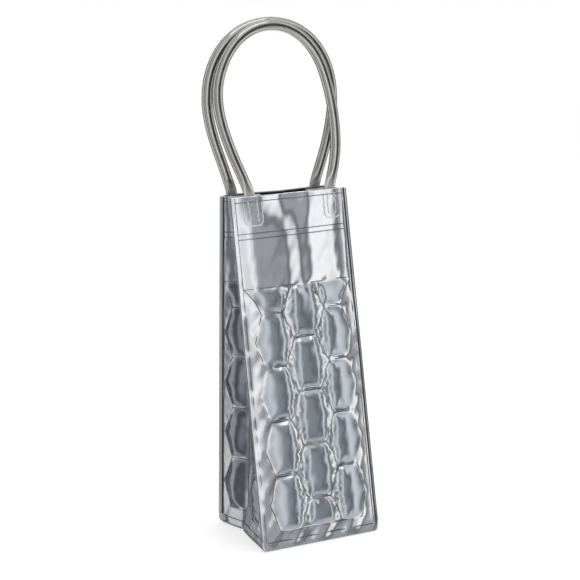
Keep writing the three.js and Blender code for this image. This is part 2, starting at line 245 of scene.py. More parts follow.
soft_light("light_left", -16, 1.8, (0.3, 2.6), 0.25, 0.9)
soft_light("light_right", 53, 1.8, (0.34, 2.6), 0.25, 1.0)
soft_light("light_top", 0, 0.5, (1.2, 1.0), 1.9, 8)
print("three soft lights")

# %% [markdown]
# ## The shape every piece agrees on
# The wall stands on a base as deep as a bottle and leans in to a mouth that is
# only a finger wide.  Every later piece is placed with these few numbers, so
# the panels, the folds and the welds meet where the measured model has them.

# %% Sizes of the bag, in millimetres
base_width, mouth_width = 98.0, 96.0
base_depth, mouth_depth = 88.0, 20.0
wall_height = 265.0
lean = math.atan((base_depth - mouth_depth) / 2 / wall_height)
slope = wall_height / math.cos(lean)
half_sheet = base_width / 2


def half_width(z):
    return (base_width + (mouth_width - base_width) * z / wall_height) / 2


def half_depth(z):
    return (base_depth + (mouth_depth - base_depth) * z / wall_height) / 2


def ease(value, low=0.0, high=1.0):
    """0 below low, 1 above high, soft between."""
    share = np.clip((np.asarray(value, float) - low) / (high - low), 0, 1)
    return share * share * (3 - 2 * share)


print("wall", round(slope, 1), "mm up its slope, leaning", round(math.degrees(lean), 2))

# %% [markdown]
# The plain film above the quilting isn't flat.  It was rolled and packed, so
# it keeps soft upright waves, and the light breaks into strips on them.  One
# rule gives the wave at any place, and the hem, the handle ends and the welds
# all use it, so they stay on the film.

# %% Soft upright waves in the plain film
wave_at = np.linspace(-half_sheet, half_sheet, 197)
smoothing = 18


def wave_line(knots):
    """A smooth line through a few (across, proud) points."""
    line = np.interp(wave_at, *zip(*knots))
    for _ in range(smoothing):
        line[1:-1] = (line[:-2] + 2 * line[1:-1] + line[2:]) / 4
    return line


waves = {
    -1: (
        wave_line([(-49, 0), (-46, 0.2), (-35, 3.2), (-15, 3.4), (-8, 3.3), (3, 0.8),
                   (14, 0.9), (18, 0.2), (35, -2.6), (46, -2.1), (49, 0)]),
        wave_line([(-49, 0), (-44, 1.6), (-27, 3.4), (-8, -0.8), (6, 0.0), (14, 1.4),
                   (22, 0.4), (39, -2.6), (46, -2.2), (49, 0)]),
    ),
    1: (
        wave_line([(-49, 0), (-45, 0.4), (-30, 2.4), (-20, 2.6), (-6, -0.6), (8, -0.8),
                   (22, 2.0), (34, 2.2), (45, 0.3), (49, 0)]),
        wave_line([(-49, 0), (-44, 1.2), (-30, 2.2), (-12, 0.6), (4, -1.0), (20, 0.6),
                   (33, 2.2), (45, 0.6), (49, 0)]),
    ),
}


bow = {
    -1: wave_line([(-49, 0), (-45, 0.6), (-39, 1.7), (10, 2.0), (43, -2.0), (49, 0)]),
    1: wave_line([(-49, 0), (-43, 0.9), (-20, 1.6), (22, 1.6), (43, 0.8), (49, 0)]),
}


# %% A place on a wall
def wave(side, across, level):
    """How proud the film stands: the whole panel bows, the plain film waves.

    The waves start in the top row of pockets and change shape near the hem.
    """
    low, high = waves[side]
    rising = ease(level, 236, 264)
    line = np.interp(across, wave_at, low) * (1 - rising)
    line = line + np.interp(across, wave_at, high) * rising
    whole = np.interp(across, wave_at, bow[side]) * ease(level, 3, 22)
    return line * ease(level, 155, 200) + whole * (1 - 0.6 * ease(level, 235, 262))


def on_wall(side, across, level, proud):
    """The point of a wall that many mm across, up the slope, and out from it."""
    across, level = np.asarray(across, float), np.asarray(level, float)
    z = level * math.cos(lean)
    x = across * half_width(z) / half_sheet
    y = side * (half_depth(z) + proud * math.cos(lean))
    return np.stack(np.broadcast_arrays(x, y, z + proud * math.sin(lean)), -1) * MM


def ripple(across, level, seed):
    """The small uneven swell of film that has been packed flat, about 1 mm."""
    rng = np.random.default_rng(seed)
    steepness = 1 / 70
    swell = 0.0
    for length in (26.0, 19.0, 15.0, 12.0, 9.5, 7.5):
        turn, phase = rng.uniform(0, np.pi), rng.uniform(0, 2 * np.pi)
        along = across * math.cos(turn) + level * math.sin(turn)
        swell = swell + length * steepness * np.sin(2 * np.pi * along / length + phase)
    return swell


print("wave up to", round(max(max(low) for low, _ in waves.values()), 1), "mm proud")

# %% [markdown]
# ## Quilting the film
# The real film is welded flat along a honeycomb, then the pockets are filled,
# so each pocket swells and the film puckers where the weld holds it back.
# That can be sculpted, but cloth simulation gives both at once.  A flat sheet
# is laid out as a grid whose points fall on the weld lines, those points are
# pinned, the film is made a few hundredths larger, and pressure lifts it.
# Lengths across and up the sheet are in millimetres, and welds count in rows.

# %% Where the welds run
pocket_floor, row_rise, row_close = 13.5, 20.95, 0.05
side_lift = 2.0  # the folded sides' rows sit this much higher
rows = 9
narrow, widest, inner_reach = 8.5, 6.2, 9.0
lens_end, lens_high = 0.2, 1.8  # a level weld is a thin lens, not a line
top_weld = 46.0


def weld_level(row):
    """How far up the slope a row of welds is; rows close up a little higher."""
    return pocket_floor + row_rise * row - row_close * row * row


def swing(row):
    """0 where the outer pockets are narrow, 1 where they are widest."""
    return 2 * np.abs(row / 2 - np.round(row / 2))


class Layout:
    """A sheet's zigzag edges, as functions of the row, and its level welds."""

    def __init__(self, width, middle, edges, bars, puckered, centres):
        self.width, self.middle, self.centres = width, middle, centres
        self.edges, self.bars, self.puckered = edges, bars, puckered


def wall_layout(shift, column=26.5):
    """Three columns of pockets; shift moves them all to the right."""
    def flare(row):
        """The top half pockets run out almost to the corners."""
        return widest * swing(row) * (1 + 0.85 * np.clip(row - rows + 1, 0, 1))

    edges = [
        lambda row: shift - column - narrow - flare(row),
        lambda row: shift - column + narrow + inner_reach * swing(row),
        lambda row: shift + column - narrow - inner_reach * swing(row),
        lambda row: shift + column + narrow + flare(row),
    ]
    outer = [(shift - column - narrow, shift - column + narrow),
             (shift + column - narrow, shift + column + narrow)]
    middle = [(shift - narrow, shift + narrow)]
    bars = {row: middle if row % 2 else outer for row in range(1, rows)}
    low = shift - column - narrow - widest, shift + column + narrow + widest
    bars[0] = [(low[0] + widest, low[1] - widest)]
    bars[rows] = [(-top_weld, top_weld)]
    centres = (shift - column, shift, shift + column)
    return Layout(base_width, 0.0, edges, bars, (1, 2), centres)


def side_layout(inset=14.0, reach_out=8.5, inner=32.0, width=44.0):
    """One column of pockets on half of a folded side."""
    edges = [lambda row: inset - reach_out * swing(row), lambda row: inner + 0 * row]
    bars = {row: [(inset, inner)] for row in range(0, rows, 2)}
    bars[rows] = [(inset - reach_out, inner)]
    return Layout(width, width / 2, edges, bars, (), ((inset + inner) / 2,))


front_layout, back_layout, side_sheet = wall_layout(1.2), wall_layout(-1.2), side_layout()
print("pocket rows at", [round(weld_level(row), 1) for row in range(rows + 1)])


# %% Lay the flat sheet out as a grid
def cut_sheet(layout, spacing):
    """Grid points (across, level) that sit on the welds, and which are welded."""
    steps = int(round(row_rise / spacing))
    margin = 2  # rows of plain film kept below and above the quilting
    row = np.concatenate([
        -np.arange(margin, 0, -1) * spacing / row_rise,
        np.arange(rows * steps + 1) / steps,
        rows + np.arange(1, margin + 1) * spacing / row_rise,
    ])
    count = int(round(layout.width / spacing))
    even = np.linspace(0, layout.width, count + 1) - layout.width / 2 + layout.middle
    across = np.repeat(even[None, :], len(row), 0)
    weld, zigzag = np.zeros(across.shape, bool), np.zeros(across.shape, bool)
    for j, here in enumerate(row):
        held = [(0, even[0])]
        marks = []
        for k, edge in enumerate(layout.edges):
            place = float(edge(min(max(here, 0), rows)))
            i = int(round((place - even[0]) / layout.width * count))
            i = max(held[-1][0] + 1, min(i, count - len(layout.edges) + k))
            held.append((i, place))
            marks.append((i, k))
        held.append((count, even[-1]))
        across[j] = np.interp(np.arange(count + 1), *zip(*held))
        if -1e-6 <= here <= rows + 1e-6:
            for i, k in marks:
                weld[j, i] = True
                zigzag[j, i] = k in layout.puckered
    level = np.repeat(weld_level(row)[:, None], count + 1, 1)
    for number, bars in layout.bars.items():
        j = margin + number * steps
        for start, end in bars:
            weld[j] |= (across[j] > start - 0.5) & (across[j] < end + 0.5)
            if layout.puckered and 0 < number < rows:
                short = lens_end * (end - start)
                weld[j + 1] |= (across[j + 1] > start + short) & (across[j + 1] < end - short)
    first = np.array([float(layout.edges[0](min(max(r, 0), rows))) for r in row])
    last = np.array([float(layout.edges[-1](min(max(r, 0), rows))) for r in row])
    filled = (across > first[:, None] - 0.01) & (across < last[:, None] + 0.01)
    filled &= ((row > -1e-6) & (row < rows + 1e-6))[:, None]
    return across, level, weld | ~filled, zigzag


print("a sheet's grid is", "x".join(map(str, cut_sheet(front_layout, 1.6)[0].shape)), "points")


# %% Distances, smoothing and faces of a grid
def nearest(across, level, marked):
    """How far each grid point is from the nearest marked one."""
    points = np.stack([across.ravel(), level.ravel()], -1)
    marks = np.stack([across[marked], level[marked]], -1)
    far = np.full(len(points), 1e9)
    for start in range(0, len(marks), 200):
        some = marks[start:start + 200]
        gap = ((points[:, None] - some[None]) ** 2).sum(-1).min(1)
        far = np.minimum(far, np.sqrt(gap))
    return far.reshape(across.shape)


def relax(values, times, held):
    """Average each free grid point with its neighbours, again and again."""
    for _ in range(times):
        edge = np.pad(values, 1, mode="edge")
        mean = (edge[:-2, 1:-1] + edge[2:, 1:-1] + edge[1:-1, :-2] + edge[1:-1, 2:]) / 4
        values = np.where(held, values, (values + mean) / 2)
    return values


def grid_faces(high, wide):
    """The quads of a grid of points."""
    return [(j * wide + i, j * wide + i + 1, (j + 1) * wide + i + 1, (j + 1) * wide + i)
            for j in range(high - 1) for i in range(wide - 1)]


print("grid helpers ready")


# %% A sheet of film pinned along its welds
cloth_scale = 0.01  # a millimetre of film is simulated as a centimetre of cloth


def pinned_sheet(name, start, flat, held):
    """The sheet as an object: where it starts, what it was cut to, its pins."""
    mesh = bpy.data.meshes.new(name)
    mesh.from_pydata((start.reshape(-1, 3) * cloth_scale).tolist(), [], grid_faces(*held.shape))
    sheet = bpy.data.objects.new(name, mesh)
    bpy.context.scene.collection.objects.link(sheet)
    pins = sheet.vertex_groups.new(name="welded")
    pins.add(np.nonzero(held.ravel())[0].tolist(), 1.0, "REPLACE")
    sheet.shape_key_add(name="blown")
    cut = sheet.shape_key_add(name="cut")
    cut.data.foreach_set("co", (flat * cloth_scale).ravel())
    return sheet, cut


def make_film(cloth, cut, bend, surplus):
    """Settings of thin vinyl, a little larger than its frame, under pressure."""
    film = cloth.settings
    film.rest_shape_key = cut
    film.vertex_group_mass, film.pin_stiffness = "welded", 50
    film.quality, film.mass, film.air_damping = 6, 0.1, 2
    film.tension_stiffness = film.compression_stiffness = 40
    film.shear_stiffness, film.bending_stiffness = 20, bend
    film.tension_damping = film.compression_damping = film.shear_damping = 5
    film.shrink_min = film.shrink_max = -surplus
    film.effector_weights.gravity = 0
    film.use_pressure, film.uniform_pressure_force = True, 20
    cloth.collision_settings.use_collision = False


print("cloth helpers ready")


# %% Blow up the pockets with a cloth simulation
def blow_up(name, start, flat, held, bend=20.0, surplus=0.03, frames=25):
    """Run the cloth and give back where its points end, in mm."""
    sheet, cut = pinned_sheet(name, start, flat, held)
    mesh = sheet.data
    cloth = sheet.modifiers.new("film", "CLOTH")
    make_film(cloth, cut, bend, surplus)
    cloth.point_cache.frame_start, cloth.point_cache.frame_end = 1, frames
    for number in range(1, frames + 1):
        bpy.context.scene.frame_set(number)
    done = sheet.evaluated_get(bpy.context.evaluated_depsgraph_get())
    blown = np.empty(start.size, np.float32)
    done.data.vertices.foreach_get("co", blown)
    bpy.data.objects.remove(sheet)
    bpy.data.meshes.remove(mesh)
    bpy.context.scene.frame_set(1)
    return blown.reshape(start.shape).astype(float) / cloth_scale


def pucker(layout, across, level, held, zigzag, blown, calm, rng, seed):
    """Keep the cloth's folds near the zigzags only, and crease the film there."""
    patchy = 1.3 + 0.5 * np.sin(across * 0.31 + seed) * np.sin(level * 0.23 + 2 * seed)
    near = 1 - ease(nearest(across, level, zigzag), 4.5, 9.5)
    done = calm + (blown - calm) * (near * patchy)[..., None]
    aside = np.min([np.abs(across - centre) for centre in layout.centres], 0)
    slack = ease(aside, 7.5, 11.0) * near
    creases = relax(rng.standard_normal(across.shape), 1, held)
    sunk, crease_high, least = 0.7, 1.15, 0.15
    rise = done[..., 2] * (1 - sunk * slack)
    rise = rise + np.where(held, 0, crease_high * creases * slack)
    done[..., 2] = np.where(held, rise, np.maximum(rise, least))
    return done


def quilt(name, layout, seed, spacing=1.6, swell=4.0, reach=11.0):
    """Simulate one film; returns its grid before and after, in mm."""
    across, level, held, zigzag = cut_sheet(layout, spacing)
    share = np.clip(nearest(across, level, held) / reach, 0, 1)
    dome = np.where(held, 0, swell * np.sqrt(1 - (1 - share) ** 2))
    dome = relax(dome, 10, held)
    rng = np.random.default_rng(seed)
    rough = 0.05 * rng.standard_normal(across.shape)
    start = np.stack([across, level, np.where(held, 0, dome + rough)], -1)
    blown = blow_up(name, start, np.stack([across, level, 0 * across], -1), held)
    calm = np.stack([relax(blown[..., k], 12, held) for k in range(3)], -1)
    if not layout.puckered:
        return across, level, held, calm
    print(name, "puckers", round(float(np.abs(blown - calm)[..., 2].max()), 2), "mm")
    return across, level, held, pucker(layout, across, level, held, zigzag, blown, calm, rng, seed)


blown_sheets = {
    "front": quilt("front_film", front_layout, 3),
    "back": quilt("back_film", back_layout, 8),
    "side": quilt("side_film", side_sheet, 5),
}
for name, (_, _, _, blown) in blown_sheets.items():
    print(name, "film rises", round(float(blown[..., 2].max()), 2), "mm")

# %% [markdown]
# ## From grids to closed skins
# Each panel is two films.  The outer film swells outward and the inner one
# swells inward, a little less, and they meet at every weld.  Both are grids of
# the same size, so joining their borders gives one closed skin with no holes.

# %% Turn a mesh outward, mark its points, and put it in the scene
def turn_outward(mesh):
    build = bmesh.new()
    build.from_mesh(mesh)
    bmesh.ops.recalc_face_normals(build, faces=build.faces)
    build.to_mesh(mesh)
    build.free()


def mark_points(mesh, name, values):
    """Keep one number for each point, which a finish can read by its name."""
    mark = mesh.attributes.new(name, "FLOAT", "POINT")
    mark.data.foreach_set("value", np.asarray(values).ravel().astype(np.float32))


def finished(name, mesh, finer=0):
    """Put a mesh in the scene, smooth, with its subdivision made real."""
    piece = bpy.data.objects.new(name, mesh)
    bpy.context.scene.collection.objects.link(piece)
    if finer:
        soft = piece.modifiers.new("soft", "SUBSURF")
        soft.levels = soft.render_levels = finer
        done = piece.evaluated_get(bpy.context.evaluated_depsgraph_get())
        smooth_mesh = bpy.data.meshes.new_from_object(done)
        piece.modifiers.clear()
        piece.data = smooth_mesh
        smooth_mesh.name = name
    piece.data.shade_smooth()
    return piece


print("mesh helpers ready")


# %% Join two grids into one closed skin
def closed_skin(name, outer, inner, filled=None):
    """A closed mesh from two grids of points; filled marks where the gel is."""
    high, wide = outer.shape[:2]
    faces = grid_faces(high, wide)
    offset = high * wide
    faces += [tuple(offset + i for i in reversed(face)) for face in faces]
    ring = list(range(wide))
    ring += [j * wide + wide - 1 for j in range(1, high)]
    ring += [(high - 1) * wide + i for i in range(wide - 2, -1, -1)]
    ring += [j * wide for j in range(high - 2, 0, -1)]
    for a, b in zip(ring, ring[1:] + ring[:1]):
        faces.append((b, a, offset + a, offset + b))
    points = np.concatenate([outer.reshape(-1, 3), inner.reshape(-1, 3)])
    mesh = bpy.data.meshes.new(name)
    mesh.from_pydata(points.tolist(), [], faces)
    turn_outward(mesh)
    if filled is not None:
        mark_points(mesh, "filled", np.tile(filled.ravel(), 2))
    return finished(name, mesh, finer=1)


print("skin helpers ready")

# %% [markdown]
# ## The front and back panels
# A whole panel is the quilted part with plain film above and below it.  The
# rows above carry the upright waves.  The bottom corners are rounded, as the
# welding tool leaves them, and the outer 3 mm is the welded fin.

# %% Grow a quilted sheet to the whole panel
film, film_gap, corner_round = 0.5, 0.3, 4.5
laminate = 2 * film + film_gap
panel_foot, panel_top = 0.2, slope - 0.3
row_step, row_clear, row_blend = 1.2, 0.8, 12.0
gel_mark = (0.2, 1.6)  # gel starts to show, and shows fully, at these rises


def plain_film(levels, across):
    """Flat grid rows at some levels; across is one row or a row for each."""
    across = np.broadcast_to(across, (len(levels), np.shape(across)[-1]))
    return np.stack([across, np.repeat(levels[:, None], across.shape[1], 1), 0 * across], -1)


def whole_panel(side, blown_sheet, bulge, proud):
    """Grid points of one film over the whole panel, and where it is filled."""
    across, level, _, moved = blown_sheet
    below = np.arange(panel_foot, level[0, 0] - row_clear, row_step)
    above = np.linspace(level[-1, 0] + 2.2, panel_top, 32)
    even = np.linspace(across[0, 0], across[0, -1], across.shape[1])
    mix = ease(above, above[0], above[0] + row_blend)[:, None]
    top = plain_film(above, moved[-1][None, :, 0] * (1 - mix) + even[None] * mix)
    grid = np.concatenate([plain_film(below, moved[0, :, 0]), moved, top])
    x, up_slope, rise = grid[..., 0], grid[..., 1], grid[..., 2]
    cut_in = corner_round - np.sqrt(
        corner_round ** 2 - np.clip(corner_round - up_slope, 0, corner_round) ** 2
    )
    x = x * (half_sheet - cut_in) / half_sheet
    filled = ease(rise, *gel_mark)
    loose = (1 - filled) * (1 - 0.75 * ease(up_slope, 196, 206)) + 0.3 * filled
    loose = loose * (1 - ease(np.abs(x), 44.5, 47.5)) * ease(up_slope, 1, 5)
    lift = proud + bulge * rise + wave(side, x, up_slope)
    lift = lift + ripple(x, up_slope, 11 + side) * loose
    return on_wall(side, x, up_slope, lift), filled


def panel(name, side, blown_sheet):
    """A wall's two films; the inner one bulges less, towards the inside."""
    outer, filled = whole_panel(side, blown_sheet, 0.8, -0.15)
    inner, _ = whole_panel(side, blown_sheet, -0.6, -laminate + 0.15)
    return closed_skin(name, outer, inner, filled)


front_panel = panel("front_wall_panel", -1, blown_sheets["front"])
back_panel = panel("back_wall_panel", 1, blown_sheets["back"])
for piece in (front_panel, back_panel):
    print(piece.name, len(piece.data.polygons), "faces")

# %% [markdown]
# ## The folded sides
# Each side is one panel folded inward, like a bellows, so the mouth can lie
# almost flat.  Its plan is a curve that starts at a wall, runs in to a crease
# and comes back to the other wall.  The crease moves as it climbs.

# %% The fold, from a few heights
fold_height = [0.0, 94.6, 135.2, 200.0, 233.0, 265.0]
fold_inward = [6.0, 19.0, 20.0, 22.0, 23.0, 24.0]
fold_shift = [14.0, 1.0, 0.0, 0.0, 0.0, 0.0]
fold_lead = [14.0, 28.0, 29.0, 26.0, 14.0, 10.0]
flange_mid, fold_gap, fin = 2.25, 1.6, 3.0


def fold_line(z, count=40):
    """The fold's plan at a height: points (in from the wall's edge, y)."""
    inward = np.interp(z, fold_height, fold_inward)
    shift = np.interp(z, fold_height, fold_shift)
    slant = math.tan(math.radians(np.interp(z, fold_height, fold_lead)))
    halves = []
    share = np.linspace(0, 1, count)
    for end in (-1, 1):
        corner = end * (half_depth(z) - flange_mid)
        crease = shift + end * fold_gap
        lead = min(abs(corner - crease) * slant, 0.8 * inward)
        inwards = 2 * share * (1 - share) * lead + share ** 2 * inward
        y = (1 - share) ** 2 * corner + (1 - (1 - share) ** 2) * crease
        halves.append((inwards, y))
    (front_in, front_y), (back_in, back_y) = halves
    tip = ([inward + 1.2, inward + 1.6, inward + 1.2], [shift - 0.9, shift, shift + 0.9])
    inwards = np.concatenate([[-2.6], front_in, tip[0], back_in[::-1], [-2.6]])
    y = np.concatenate([[front_y[0]], front_y, tip[1], back_y[::-1], [back_y[0]]])
    return inwards, y


# %% A place on the fold
def on_fold(hand, share, level, proud):
    """Points of a side panel: share 0 at the front edge, 1 at the back edge."""
    z = float(level) * math.cos(lean)
    inwards, y = fold_line(z)
    along = np.concatenate([[0], np.cumsum(np.hypot(np.diff(inwards), np.diff(y)))])
    place = np.clip(share, 0, 1) * along[-1]
    step = 0.4
    before, after = np.clip(place - step, 0, along[-1]), np.clip(place + step, 0, along[-1])
    run_in = np.interp(after, along, inwards) - np.interp(before, along, inwards)
    run_y = np.interp(after, along, y) - np.interp(before, along, y)
    size = np.maximum(np.hypot(run_in, run_y), 1e-6)
    inn = np.interp(place, along, inwards) - proud * run_y / size
    yy = np.interp(place, along, y) + proud * run_in / size
    x = hand * (half_width(z) - fin - inn)
    return np.stack([x, yy, np.full_like(x, z)], -1) * MM


print("fold at the mouth reaches in", fold_inward[-1], "mm")

# %% Grow the two half sheets to the whole side
def side_sheet_points(hand, bulge, proud):
    """One film of a side panel as a grid from its front edge to its back edge."""
    across, level, _, blown = blown_sheets["side"]
    share_front = blown[..., 0] / (2 * side_sheet.width)
    share_back = 1 - share_front[:, ::-1]
    flat_even = np.linspace(0, 0.5, across.shape[1])
    crush = 1 - 0.55 * ease(blown[..., 0], 20, 32)  # the crease leaves less room
    rise = blown[..., 2] * crush
    quilted = [
        (level[j, 0] + side_lift,
         np.concatenate([share_front[j], share_back[j, 1:]]),
         np.concatenate([rise[j], rise[j, ::-1][1:]]))
        for j in range(len(level))
    ]
    blank = np.concatenate([flat_even, (1 - flat_even[::-1])[1:]])
    first, last = quilted[0], quilted[-1]
    below = [(lv, first[1], 0 * blank) for lv in np.arange(1.0, first[0] - row_clear, row_step)]
    above = []
    for lv in np.linspace(last[0] + 2.2, panel_top - 0.4, 30):
        mix = float(ease(lv, last[0], last[0] + row_blend))
        above.append((lv, last[1] * (1 - mix) + blank * mix, 0 * blank))
    lines, filled = [], []
    for lv, share, lift in below + quilted + above:
        squeezed = lift * (0.55 + 0.45 * (1 - lv / slope))
        swell = 0.5 * ripple(share * 2 * side_sheet.width, lv, 21 + hand)
        swell = swell * ease(share * (1 - share), 0.02, 0.06)
        lines.append(on_fold(hand, share, lv, proud + bulge * squeezed + swell))
        filled.append(ease(lift, *gel_mark))
    return np.array(lines), np.array(filled)


def side_panel(name, hand):
    outward, filled = side_sheet_points(hand, 0.9, 0.65)
    inward, _ = side_sheet_points(hand, -0.5, -0.45)
    return closed_skin(name, outward, inward, filled)


left_panel = side_panel("left_side_panel", -1)
right_panel = side_panel("right_side_panel", 1)
for piece in (left_panel, right_panel):
    print(piece.name, len(piece.data.polygons), "faces")

# %% [markdown]
# ## The base and the hems
# The base is one more piece of film, welded to the feet of all four panels.
# At the mouth the film is turned in and welded down with a double line, so a
# hem is a narrow strip just inside each panel, and the tube ends lie between.

# %% The base film
base_corner, base_clear, base_inset = 6.0, 1.4, 0.4


def base_edge(y, hand):
    """How far out the base reaches at a depth y: it follows the folded side."""
    inwards, line = fold_line(0.0)
    order = np.argsort(line, kind="stable")
    reach_in = np.interp(y, line[order], np.clip(inwards[order], 0, None))
    past = np.clip(np.abs(y) - (base_depth / 2 - base_corner), 0, base_corner)
    rounding = base_corner - np.sqrt(base_corner ** 2 - past ** 2)
    return hand * (half_sheet - np.maximum(reach_in + base_clear, rounding))


def base_grid(height_at):
    """A grid over the base; height_at gives its height from the nearest rim."""
    y = np.linspace(-base_depth / 2 + base_inset, base_depth / 2 - base_inset, 60)[:, None]
    share = np.linspace(0, 1, 60)[None, :]
    x = base_edge(y, -1) * (1 - share) + base_edge(y, 1) * share
    rim = np.minimum(np.minimum(share, 1 - share) * base_width, base_depth / 2 - np.abs(y))
    return np.stack([x, y + 0 * x, height_at(rim, x, y)], -1) * MM


def crumple(x, y):
    """A quarter of a millimetre of unevenness in the base."""
    return 0.25 * np.sin(x * 0.17 + y * 0.05) * np.sin(y * 0.13 - x * 0.07)


base_top = base_grid(lambda rim, x, y: 1.0 - 0.35 * ease(rim, 1, 4) + crumple(x, y))
base_low = base_grid(lambda rim, x, y: 0.02 + 0.08 * ease(rim, 0, 3) + 0 * x)
base_film = closed_skin("base_film", base_top, base_low)
print("base", [round(v * 1000, 1) for v in base_film.dimensions])

# %% The hem strips inside the mouth
feet = {-1: (-32.5, 36.5), 1: (-38.1, 30.9)}
hem_drop, hem_half, end_wide, end_thick = 32.0, 40.0, 8.8, 1.6
hem_low, hem_high = slope - hem_drop - 0.8, slope - 0.8
fold_from, fold_to = 0.16, 0.84  # the shares of a folded side that its hem covers


def hem_strip(name, side):
    """A strip of film that passes inside the flattened tube ends."""
    across = np.repeat(np.linspace(-hem_half, hem_half, 81)[None], 24, 0)
    level = np.repeat(np.linspace(hem_low, hem_high, 24)[:, None], 81, 1)
    over = sum(ease(end_wide / 2 + 4.5 - np.abs(across - foot), 0, 4) for foot in feet[side])
    over = over * ease(level, slope - 30, slope - 26)
    settle = -laminate - 0.25 - (end_thick + 0.1) * np.clip(over, 0, 1)
    lift = settle + wave(side, across, level)
    outer = on_wall(side, across, level, lift)
    return closed_skin(name, outer, on_wall(side, across, level, lift - film))


front_hem, back_hem = hem_strip("front_hem_strip", -1), hem_strip("back_hem_strip", 1)


def side_hem_strip(name, hand):
    """A strip of film inside a folded side."""
    share = np.linspace(fold_from, fold_to, 49)
    levels = np.linspace(hem_low, slope - 1.2, 20)
    near, far = (np.array([on_fold(hand, share, lv, proud) for lv in levels])
                 for proud in (-0.75, -0.75 - film))
    return closed_skin(name, near, far)


left_hem = side_hem_strip("left_hem_strip", -1)
right_hem = side_hem_strip("right_hem_strip", 1)
print("hems", [len(p.data.polygons) for p in (front_hem, back_hem, left_hem, right_hem)])

# %% [markdown]
# ## The tube handles
# A handle is one length of clear hollow tube.  Its ends are pressed flat and
# welded under the hem, and over a short neck it becomes round again.  A curve
# with a bevel can't change its section from flat to round, so the tube is
# laid out ring by ring, with an outer wall and a bore.

# %% The loop that a handle follows
tube_outer, tube_bore, neck, foot_out = 8.0, 5.4, 14.0, 34.5
end_low, tube_start = 239.7, 266.0
neck_out, top_out = 7.6, 4.4  # from the middle of the mouth, at the rim and at the top
loops = {
    -1: dict(feet=2.0, lean=-9.5, wide=46.0, waist=62.0, rise=123.2),
    1: dict(feet=-3.6, lean=-1.4, wide=51.5, waist=68.0, rise=125.2),
}


def bezier(points, share):
    """A smooth curve that leaves the first point for the second, and so on."""
    a, b, c, d = (np.array(p, float) for p in points)
    s = share[:, None]
    return (1 - s) ** 3 * a + 3 * (1 - s) ** 2 * s * b + 3 * (1 - s) * s * s * c + s ** 3 * d


def handle_path(side, step=1.7):
    """The tube's centre line from one pressed end to the other, in mm."""
    way = loops[side]
    wide, waist, rise = way["wide"], way["waist"], way["rise"]
    start = 0.3 * 0.35 * waist
    lower = [(foot_out, 0), (foot_out + start, 0.35 * waist), (wide, 0.68 * waist), (wide, waist)]
    upper = [(wide, waist), (wide, waist + 0.58 * (rise - waist)), (0.58 * wide, rise), (0, rise)]
    share = np.linspace(0, 1, 200)
    half = np.concatenate([bezier(lower, share), bezier(upper, share)[1:]])
    both = np.concatenate([half * (-1, 1), half[::-1][1:]])
    rise_at = both[:, 1]
    x = both[:, 0] + way["feet"] + way["lean"] * ease(rise_at / (1.4 * waist))
    y = side * (neck_out + (top_out - neck_out) * ease(rise_at / rise))
    loop = np.stack([x, y, tube_start + rise_at], -1)
    z = np.linspace(end_low, tube_start - 0.5, 30)
    inset = laminate + 0.35 + end_thick / 2
    legs = [np.stack([np.full_like(z, foot), side * (half_depth(z) - inset), z], -1)
            for foot in feet[side]]
    path = np.concatenate([legs[0], loop, legs[1][::-1]])
    along = np.concatenate([[0], np.cumsum(np.linalg.norm(np.diff(path, axis=0), axis=1))])
    even = np.linspace(0, along[-1], int(along[-1] / step))
    path = np.stack([np.interp(even, along, path[:, k]) for k in range(3)], -1)
    for _ in range(6):
        path[1:-1] = (path[:-2] + 2 * path[1:-1] + path[2:]) / 4
    level = path[:, 2] / math.cos(lean)
    near = 1 - ease(path[:, 2], 262, 300)
    path[:, 1] += side * near * wave(side, path[:, 0], np.minimum(level, slope))
    return path


print("handle lengths", [round(float(np.linalg.norm(np.diff(handle_path(s), axis=0), axis=1).sum()))
                         for s in (-1, 1)], "mm")


# %% Rings along the loop
def ring_points(path, wide, thick, square, around):
    """Rings of points round a path, each wide by thick, from round to pressed."""
    ahead = np.gradient(path, axis=0)
    ahead /= np.linalg.norm(ahead, axis=1, keepdims=True)
    flat_way = np.cross(ahead, np.array([0.0, 1.0, 0.0]))
    flat_way /= np.linalg.norm(flat_way, axis=1, keepdims=True)
    deep_way = np.cross(flat_way, ahead)
    angle = np.linspace(0, 2 * np.pi, around, endpoint=False)[None, :]
    power = 1 - 0.5 * square[:, None]
    c = np.sign(np.cos(angle)) * np.abs(np.cos(angle)) ** power * wide[:, None] / 2
    s = np.sign(np.sin(angle)) * np.abs(np.sin(angle)) ** power * thick[:, None] / 2
    return path[:, None] + c[..., None] * flat_way[:, None] + s[..., None] * deep_way[:, None]


def ring_faces(count, around):
    """The faces of an outer wall, a bore inside it, and the two ring ends."""
    faces = []
    for shell, base in ((0, 0), (1, count * around)):
        for j in range(count - 1):
            for i in range(around):
                k = (i + 1) % around
                quad = (j * around + i, j * around + k, (j + 1) * around + k, (j + 1) * around + i)
                quad = tuple(base + q for q in quad)
                faces.append(quad if shell else quad[::-1])
    for j, flip in ((0, False), (count - 1, True)):
        for i in range(around):
            k = (i + 1) % around
            outside, inside = j * around, (count + j) * around
            quad = (outside + i, outside + k, inside + k, inside + i)
            faces.append(quad[::-1] if flip else quad)
    return faces


print("ring helpers ready")

# %% Grow each handle from its rings
pressed_bore_wide, pressed_bore_thick = 6.4, 0.14
# Where round the tube the dark lines of painted refraction fall, and how dark each is.
painted_refraction_at = [-1, -0.94, -0.82, -0.7, -0.56, -0.44, -0.3, -0.1, 0.1, 0.3, 0.42, 0.54, 0.68, 0.8,
             0.92, 1]
painted_refraction_dark = [1.0, 0.0, 0.8, 0.0, 0.75, 0.0, 0.35, 0.95, 1.0, 0.8, 0.0, 0.85, 0.0, 0.9, 0.0, 1.0]


